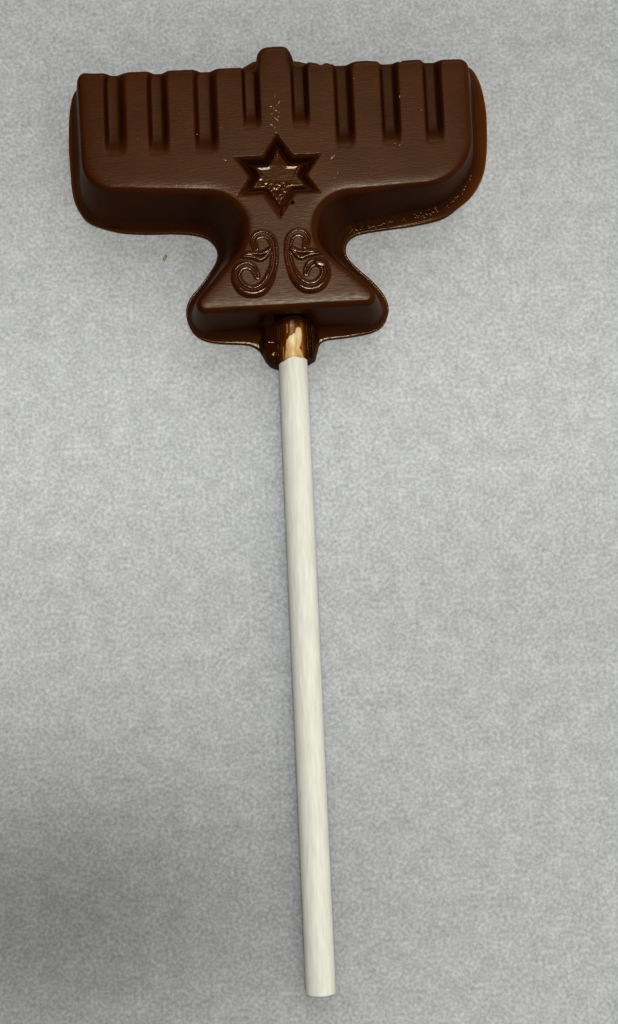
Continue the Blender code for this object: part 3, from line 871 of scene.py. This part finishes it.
def sleeve_surface(x, y):
    """The upper surface of the sleeve, and how thin the chocolate is over the stick."""
    wander = flat_noise(2.2 * x, 0.3 * y, 1.0, 9)
    rough = flat_noise(x, y, 0.4, 11)
    broken = smooth_step(-3.2, -3.9, y) * smooth_step(-0.9, -1.3, x) * smooth_step(-2.9, -2.4, x)
    end = smooth_step(-4.7, -5.5, y + 0.25 * x) * smooth_step(-0.7, -1.2, x)
    level = sleeve_level(x, y) + 0.03 * wander + (0.015 + 0.075 * broken) * rough - 0.8 * end
    over = stick_top(x)
    within = smooth_step(STICK_RADIUS - 0.02, STICK_RADIUS - 0.12, np.abs(x - STICK_X))
    thin = film_thinness(x, y)
    film = over + 0.03 + 0.16 * (1.0 - thin) ** 1.5 + 0.012 * wander
    on_stick = within * smooth_step(-1.25, -0.95, x + 0.25 * smooth_step(-2.0, -3.0, y))
    arch = smooth_step(1.15, 0.75, y + 0.14 * np.abs(x - 1.4) ** 2)
    top = blend(np.maximum(level, film * within), film + 0.9 * (1.0 - arch) * (y > 0.0), on_stick)
    bare = (within > 0.0) & (y < level_along(x, FILM_FRONT))
    top = np.where(bare, np.minimum(top, over - 0.15), top)
    return top, thin * on_stick * arch


def sleeve_ring(z, inset):
    """The outline of the sleeve at a height, moved in by an inset."""
    lean = SLEEVE_LEAN * z / SLEEVE_TOP
    flat = rounded_corners(SLEEVE_CORNERS, SLEEVE_ROUNDING, lean + inset, SLEEVE_STEP)
    return np.column_stack([flat, np.full(len(flat), z)])


def sleeve_shape():
    """The points and faces of the sleeve, how glossy it is and how thin over the stick."""
    rings = [sleeve_ring(z, 0.0) for z in (0.0, 0.3, 0.6, 0.9, 1.3, 1.8, 2.4, 3.0, 3.4)]
    for degrees in range(15, 91, 15):
        angle = math.radians(degrees)
        z = SLEEVE_TOP - SLEEVE_TOP_ROUNDING * (1 - math.sin(angle))
        rings.append(sleeve_ring(z, SLEEVE_TOP_ROUNDING * (1 - math.cos(angle))))
    across = lines_between([(-5.0, 0.0), (6.0, SLEEVE_GRID)])
    along = lines_between([(-6.5, 0.0), (3.0, SLEEVE_GRID)])
    points, faces = lofted(rings, across, along, SLEEVE_TOP)
    top, thin = sleeve_surface(points[:, 0], points[:, 1])
    first = (len(rings) - 1) * len(rings[0])
    z = np.minimum(points[:, 2], top)
    z[first:] = top[first:]
    points = np.column_stack([points[:, 0], points[:, 1], z])
    # Near the head's wall and on the sleeve's sides the gloss is below 0, which paints the chocolate
    # darker: painted shade in the hollow where the stick enters and on the sides.
    gloss = np.where(thin > 0.0, 0.2, blend(0.8, -0.9, smooth_step(-0.6, 0.3, points[:, 1])))
    gloss[:first] = -0.4
    return points, faces, gloss, thin


# The rolled paper stick
STICK_END = -97.1
STICK_DEEP_END = 17.2
PAPER_STEP = 0.06           # the step at the paper's outer edge
ROLL_PITCH = 0.17           # from one turn of the paper to the next on the stick's end
STICK_ROUNDING = 0.12       # of the edge of its end
STICK_SIDES = 96
SEAM_DEGREES = 205          # the seam lies at the lower left


def stick_rings(turn):
    """The radius and the y of the stick's points, ring by ring from the middle of its front end."""
    rolled = STICK_RADIUS - PAPER_STEP * (1.0 - turn / (2 * math.pi))
    rings = []
    for radius in np.linspace(0.3, 1.0, 42) * (STICK_RADIUS - STICK_ROUNDING):
        layers = 0.5 + 0.5 * np.cos(2 * math.pi * (radius / ROLL_PITCH - turn / (2 * math.pi)))
        worn = 0.08 * flat_noise(radius * np.cos(turn), radius * np.sin(turn), 0.9, 41)
        rings.append((radius * rolled / STICK_RADIUS, STICK_END + 0.1 * layers ** 3 + 0.03 + worn))
    for angle in np.radians([30.0, 60.0, 90.0]):
        y = STICK_END + 0.16 * (1.0 - math.cos(angle))
        rings.append((rolled - STICK_ROUNDING * (1.0 - math.sin(angle)), y))
    near_end = np.linspace(STICK_END + 0.5, STICK_END + 3.0, 6)
    for y in np.concatenate([near_end, np.linspace(-92.0, STICK_DEEP_END, 60)]):
        wave = noise_at(np.stack([np.cos(turn), 0 * turn + y / 9.0, np.sin(turn)], axis=1), 1.0, 43)
        rings.append((rolled + 0.012 * wave, y))
    rings.append((0.02 * rolled, STICK_DEEP_END))
    return rings


def stick_shape():
    """The points and faces of the stick: a roll with its seam low on one side and a worn end."""
    count = STICK_SIDES
    turn = 2 * math.pi * np.arange(count) / count
    around = turn + math.radians(SEAM_DEGREES)
    rings = stick_rings(turn)
    points = []
    for radius, y in rings:
        y = np.broadcast_to(y, count)
        squash = 1.0 - 0.03 * smooth_step(STICK_END + 5.0, STICK_END, y)
        x = STICK_X + radius * np.cos(around)
        z = STICK_RADIUS * squash + radius * squash * np.sin(around)
        points.append(np.column_stack([x, y, z]))
    faces = [tuple(range(count))]
    for level in range(len(rings) - 1):
        low, high = level * count, (level + 1) * count
        faces += [(low + i, high + i, high + (i + 1) % count, low + (i + 1) % count) for i in range(count)]
    last = (len(rings) - 1) * count
    faces.append(tuple(last + i for i in reversed(range(count))))
    return np.concatenate(points), faces


# Scraped flakes on the face: x, y, length, width and direction in degrees
FLAKES = [
    (-0.75, 31.45, 0.5, 0.16, 20), (-0.35, 31.2, 0.3, 0.14, 70), (0.5, 32.0, 0.55, 0.16, 60),
    (0.15, 31.6, 0.25, 0.12, 10), (0.0, 30.8, 0.5, 0.2, 160), (0.45, 30.5, 0.3, 0.14, 40),
    (-0.6, 30.3, 0.3, 0.12, 15), (0.05, 29.45, 0.95, 0.16, 140), (0.35, 29.85, 0.35, 0.14, 30),
    (-0.75, 28.65, 0.6, 0.2, 160), (-0.3, 28.2, 0.3, 0.14, 60), (-0.1, 33.0, 0.25, 0.12, 80),
    (-7.7, 23.65, 0.75, 0.16, 150), (7.85, 23.3, 0.55, 0.3, 50), (8.2, 23.6, 0.3, 0.15, 10),
    (8.6, 21.0, 0.3, 0.14, 80), (8.1, 20.3, 0.25, 0.12, 20), (-11.7, 27.7, 0.3, 0.12, 30),
    (-8.1, 28.6, 0.25, 0.12, 100), (18.2, 32.1, 0.45, 0.2, 75), (17.2, 25.0, 0.35, 0.16, 170),
    (17.85, 24.8, 0.3, 0.16, 30), (18.2, 25.1, 0.2, 0.12, 90), (11.6, 35.2, 0.25, 0.12, 20),
    (21.3, 30.0, 0.25, 0.12, 130), (-14.2, 31.0, 0.2, 0.1, 50), (-20.4, 27.4, 0.22, 0.1, 110),
    (3.2, 25.9, 0.22, 0.1, 15), (-2.2, 14.2, 0.22, 0.1, 40), (13.6, 21.6, 0.2, 0.1, 70),
    (6.4, 26.1, 0.2, 0.1, 150),
]


def crease_crumbs(points):
    """Small crumbs along the ragged line, and the height of the head's points under each."""
    crumbs, levels = [], []
    low = points[(points[:, 2] > 0.3) & (points[:, 2] < 1.9)]
    tree = flat_tree(low)
    for number, (x, y) in enumerate(crease_line()):
        side = noise.noise(Vector((number * 1.37, 5.0, 0.0)))
        if noise.noise(Vector((number * 0.12, 13.0, 0.0))) < -0.12:
            continue
        size = 0.17 + 0.13 * noise.noise(Vector((number * 2.11, 9.0, 0.0)))
        y -= 0.3 + 0.75 * side
        crumbs.append((x, y, 1.4 * size, size, 47 * number))
        levels.append(low[tree.find((x, y, 0.0))[1]][2])
    return crumbs, levels


def flakes_shape(flakes, levels):
    """The points and faces of thin irregular flakes, each slightly tilted and at its level."""
    points, faces = [], []
    sides = 9
    levels = np.broadcast_to(levels, len(flakes))
    for number, ((x, y, length, width, direction), level) in enumerate(zip(flakes, levels)):
        first = len(points)
        cosine, sine = math.cos(math.radians(direction)), math.sin(math.radians(direction))
        for z, size in ((0.0, 1.0), (0.05, 0.9), (0.075, 0.4)):
            for i in range(sides):
                angle = 2 * math.pi * i / sides
                uneven = 0.95 + 0.5 * noise.noise(Vector((number * 3.1, i * 1.7, 0.0)))
                u = 0.5 * length * size * uneven * math.cos(angle)
                v = 0.5 * width * size * uneven * math.sin(angle)
                height = level + z + max(0.12 * u if number % 2 else -0.1 * u, 0.0)
                points.append((x + u * cosine - v * sine, y + u * sine + v * cosine, height))
        for low in (first, first + sides):
            faces += band_faces(low, low + sides, sides)
        faces.append(tuple(first + i for i in reversed(range(sides))))
        faces.append(tuple(first + 2 * sides + i for i in range(sides)))
    return points, faces


def add_mesh(name, points, faces, material):
    """A new smooth object from points in the head's millimetres."""
    mesh = bpy.data.meshes.new(name)
    moved = (np.asarray(points) - np.array([0.0, MIDDLE, 0.0])) * MM
    mesh.from_pydata(moved.tolist(), [], faces)
    mesh.validate()
    mesh.shade_smooth()
    thing = bpy.data.objects.new(name, mesh)
    bpy.context.scene.collection.objects.link(thing)
    mesh.materials.append(material)
    return thing


def new_material(name):
    """A material with only its shader, its node tree and that shader."""
    made = bpy.data.materials.new(name)
    made.use_nodes = True
    return made, made.node_tree, made.node_tree.nodes["Principled BSDF"]


def set_inputs(tree, node, inputs):
    """Gives a node's inputs their values, or links them where the value is another node's output."""
    for name, value in inputs.items():
        if isinstance(value, bpy.types.NodeSocket):
            tree.links.new(value, node.inputs[name])
        else:
            node.inputs[name].default_value = value


def wire(tree, kind, inputs, **settings):
    """The first output of a new shader node with its settings and inputs."""
    node = tree.nodes.new("ShaderNode" + kind)
    for name, value in settings.items():
        setattr(node, name, value)
    set_inputs(tree, node, inputs)
    return node.outputs[0]


def calculate(tree, operation, *values):
    """The result of a math node."""
    return wire(tree, "Math", dict(enumerate(values)), operation=operation)


def ramp_between(tree, value, start, end, low, high):
    """low where a value is at start, high where it is at end, and even between them."""
    return wire(tree, "MapRange", {"Value": value, "From Min": start, "From Max": end,
                                   "To Min": low, "To Max": high})


def scaled(tree, color, factor):
    """A colour made lighter or darker by a factor."""
    return wire(tree, "VectorMath", {"Vector": color, "Scale": factor}, operation="SCALE")


def bump(tree, height, strength, distance):
    """The normal of a surface with fine relief."""
    return wire(tree, "Bump", {"Height": height, "Strength": strength, "Distance": distance})


def color_ramp(tree, factor, stops):
    """Colours along a factor, from stops of a position and a colour."""
    ramp = tree.nodes.new("ShaderNodeValToRGB")
    elements = ramp.color_ramp.elements
    elements[0].position, elements[1].position = stops[0][0], stops[-1][0]
    elements[0].color, elements[1].color = (*stops[0][1], 1.0), (*stops[-1][1], 1.0)
    for position, color in stops[1:-1]:
        elements.new(position).color = (*color, 1.0)
    tree.links.new(factor, ramp.inputs["Fac"])
    return ramp.outputs["Color"]


def attribute(tree, name):
    """A value stored at the mesh's points."""
    node = tree.nodes.new("ShaderNodeAttribute")
    node.attribute_name = name
    return node.outputs["Fac"]


def coordinates(tree, kind):
    """Where a point lies, on its object or in its surroundings."""
    return tree.nodes.new("ShaderNodeTexCoord").outputs[kind]


def stretched_noise(tree, stretch, detail):
    """Noise over the object's own place, with its features per metre along x, y and z."""
    where = wire(tree, "Mapping", {"Vector": coordinates(tree, "Object"), "Scale": stretch})
    return wire(tree, "TexNoise", {"Vector": where, "Scale": 1.0, "Detail": detail})


def split_apart(tree, vector):
    """The x and the y of a vector."""
    parts = tree.nodes.new("ShaderNodeSeparateXYZ")
    tree.links.new(vector, parts.inputs[0])
    return parts.outputs["X"], parts.outputs["Y"]


# Colours of the chocolate by how thin it is over the paper
THINNING = [
    (0.0, (0.067, 0.0215, 0.0032)),
    (0.3, (0.105, 0.040, 0.0056)),
    (0.5, (0.19, 0.075, 0.016)),
    (0.7, (0.35, 0.185, 0.072)),
    (0.85, (0.50, 0.36, 0.225)),
    (1.0, (0.60, 0.52, 0.41)),
]


def chocolate_material():
    """Glossy moulded chocolate: brown, amber where it is thin, with fine streaks and a soft bloom. Where
    it is matte its colour is darker: painted shade in the grooves, the star's ring, on the walls and round
    the sleeve.
    """
    made, tree, shader = new_material("milk_chocolate")
    body = color_ramp(tree, attribute(tree, "thin"), THINNING)
    clouds = stretched_noise(tree, (180.0, 260.0, 260.0), 4.0)
    cloudy = ramp_between(tree, clouds, 0.3, 0.7, 0.9, 1.12)
    gloss = attribute(tree, "gloss")
    # Below 0 the gloss also darkens the colour: painted shade in the grooves, the star's ring, on the
    # walls and round the sleeve.
    matte = calculate(tree, "MINIMUM", gloss, 0.0)
    clouds_and_painted_shade = calculate(tree, "MULTIPLY", cloudy, calculate(tree, "MULTIPLY_ADD", matte, 0.22, 1.0))
    streaks = stretched_noise(tree, (900.0, 5200.0, 5200.0), 3.0)
    level = calculate(tree, "MULTIPLY_ADD", gloss, -0.22, 0.225)
    set_inputs(tree, shader, {
        "IOR": 1.45,
        "Specular IOR Level": 0.285,
        "Base Color": scaled(tree, body, clouds_and_painted_shade),
        "Roughness": calculate(tree, "MULTIPLY_ADD", streaks, 0.24, level),
        "Normal": bump(tree, streaks, 0.45, 0.00003),
    })
    return made


def flake_material():
    """Dry scraped chocolate, lighter than the moulded face."""
    made, tree, shader = new_material("chocolate_flakes")
    grain = stretched_noise(tree, (6000.0, 6000.0, 6000.0), 2.0)
    color = color_ramp(tree, grain, [(0.3, (0.17, 0.10, 0.06)), (0.7, (0.50, 0.40, 0.30))])
    set_inputs(tree, shader, {"Base Color": color, "Roughness": 0.55})
    return made


def paper_material():
    """Rolled paper: off-white with fine fibres along the stick."""
    made, tree, shader = new_material("stick_paper")
    fibres = stretched_noise(tree, (2600.0, 260.0, 2600.0), 4.0)
    color = color_ramp(tree, fibres, [(0.3, (0.535, 0.532, 0.548)), (0.7, (0.607, 0.604, 0.634))])
    set_inputs(tree, shader, {
        "Base Color": color,
        "Roughness": 0.75,
        "Specular IOR Level": 0.25,
        "Normal": bump(tree, fibres, 0.4, 0.00004),
    })
    return made


def floor_material():
    """Fibrous pale paper, with painted shade: darker towards the lower left, towards the front and towards
    the back.
    """
    made, tree, shader = new_material("pale_floor")
    x, y = split_apart(tree, coordinates(tree, "Object"))
    # Painted shade over the floor's colour: a dark patch at the lower left, and a fall towards the front
    # and the back.
    across = calculate(tree, "MULTIPLY_ADD", x, 1 / 0.042, 0.04 / 0.042)
    along = calculate(tree, "MULTIPLY_ADD", y, 1 / 0.024, 0.058 / 0.024)
    squares = calculate(tree, "MULTIPLY_ADD", along, along, calculate(tree, "MULTIPLY", across, across))
    painted_shadow_lower_left = calculate(tree, "POWER", math.e, calculate(tree, "MULTIPLY", squares, -1.0))
    near = ramp_between(tree, y, 0.006, -0.012, 1.0, 0.93)
    far = ramp_between(tree, y, 0.02, 0.07, 1.02, 0.83)
    light = calculate(tree, "MULTIPLY_ADD", painted_shadow_lower_left, -0.41, calculate(tree, "MULTIPLY", near, far))
    blotches = stretched_noise(tree, (330.0, 330.0, 330.0), 8.0)
    fibres = stretched_noise(tree, (1900.0, 1900.0, 1900.0), 4.0)
    mixed = calculate(tree, "MULTIPLY_ADD", blotches, 0.4, fibres)
    pale = color_ramp(tree, mixed, [(0.4, (0.335, 0.338, 0.387)), (0.7, (0.430, 0.434, 0.497)),
                                    (1.0, (0.54, 0.545, 0.625))])
    set_inputs(tree, shader, {
        "Base Color": scaled(tree, pale, light),
        "Roughness": 0.9,
        "Specular IOR Level": 0.2,
        "Normal": bump(tree, mixed, 0.25, 0.0001),
    })
    return made


def make_floor():
    """The plain sheet of paper that the lollipop lies on, a hair below it."""
    half, below = 1500.0, -0.05
    signs = ((-1, -1), (1, -1), (1, 1), (-1, 1))
    corners = [(half * x, half * y + MIDDLE, below) for x, y in signs]
    floor = add_mesh("floor", corners, [(0, 1, 2, 3)], floor_material())


def make_light(name, place_at, aim, size, power, color):
    """A square soft light at a place, turned to a point."""
    lamp = bpy.data.lights.new(name, "AREA")
    lamp.shape = "SQUARE"
    lamp.size = size
    lamp.energy = power
    lamp.color = color
    thing = bpy.data.objects.new(name, lamp)
    thing.location = place_at
    thing.rotation_euler = (Vector(aim) - Vector(place_at)).to_track_quat("-Z", "Y").to_euler()
    bpy.context.scene.collection.objects.link(thing)


def make_world():
    """A dim room, brighter on the right."""
    world = bpy.data.worlds.new("studio")
    bpy.context.scene.world = world
    world.use_nodes = True
    tree = world.node_tree
    x, y = split_apart(tree, coordinates(tree, "Generated"))
    strength = ramp_between(tree, x, -1.0, 1.0, 0.15, 0.72)
    set_inputs(tree, tree.nodes["Background"], {"Color": (0.99, 0.98, 0.78, 1.0), "Strength": strength})


def make_camera():
    """The photograph's view: 45.7 mm on a 36 mm long side, 194 mm above the floor."""
    lens = bpy.data.cameras.new("camera")
    lens.sensor_width = 36.0
    lens.lens = 45.70
    lens.clip_start = 0.005
    lens.clip_end = 10.0
    camera = bpy.data.objects.new("camera", lens)
    camera.location = (0.00147, -0.0177, 0.1941)
    camera.rotation_euler = (0.0895, 0.0, -0.0445)
    bpy.context.scene.collection.objects.link(camera)
    bpy.context.scene.camera = camera


def store(thing, name, values):
    """Keeps a value at each point of a mesh for its material."""
    thing.data.attributes.new(name, "FLOAT", "POINT").data.foreach_set("value", values.astype(np.float32))


def make_chocolate(name, shape, material):
    """A piece that stands in for the head's solid and keeps its form. Its points."""
    points, faces, gloss, thin = shape
    piece = add_mesh(name, points, faces, material)
    store(piece, "gloss", gloss)
    store(piece, "thin", thin)
    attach(piece, "root")
    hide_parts("chocolate_head")
    return points


make_camera()
make_floor()
make_world()
make_light("overhead", (0.02, 0.145, 1.0), (0.0, 0.04, 0.0), 0.2, 3.55, (0.99, 1.0, 0.90))
make_light("window", (0.12, 0.8, 0.7), (0.0, 0.03, 0.0), 0.5, 1.3, (0.99, 1.0, 0.95))

bpy.context.scene.view_settings.view_transform = "Standard"
bpy.context.scene.view_settings.look = "Very High Contrast"

chocolate = chocolate_material()
head_points = make_chocolate("moulded_chocolate", head_shape(), chocolate)
make_chocolate("chocolate_sleeve", sleeve_shape(), chocolate)

stick = add_mesh("rolled_stick", *stick_shape(), paper_material())
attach(stick, "root")
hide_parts("paper_stick")

flaky = flake_material()
flakes = add_mesh("scraped_flakes", *flakes_shape(FLAKES, THICKNESS - 0.02), flaky)
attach(flakes, "root")
crumbs = add_mesh("crease_crumbs", *flakes_shape(*crease_crumbs(head_points)), flaky)
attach(crumbs, "root")
add_mesh("floor_crumb", *flakes_shape([(-18.0, 12.3, 1.0, 0.45, 55)], 0.0), flaky)
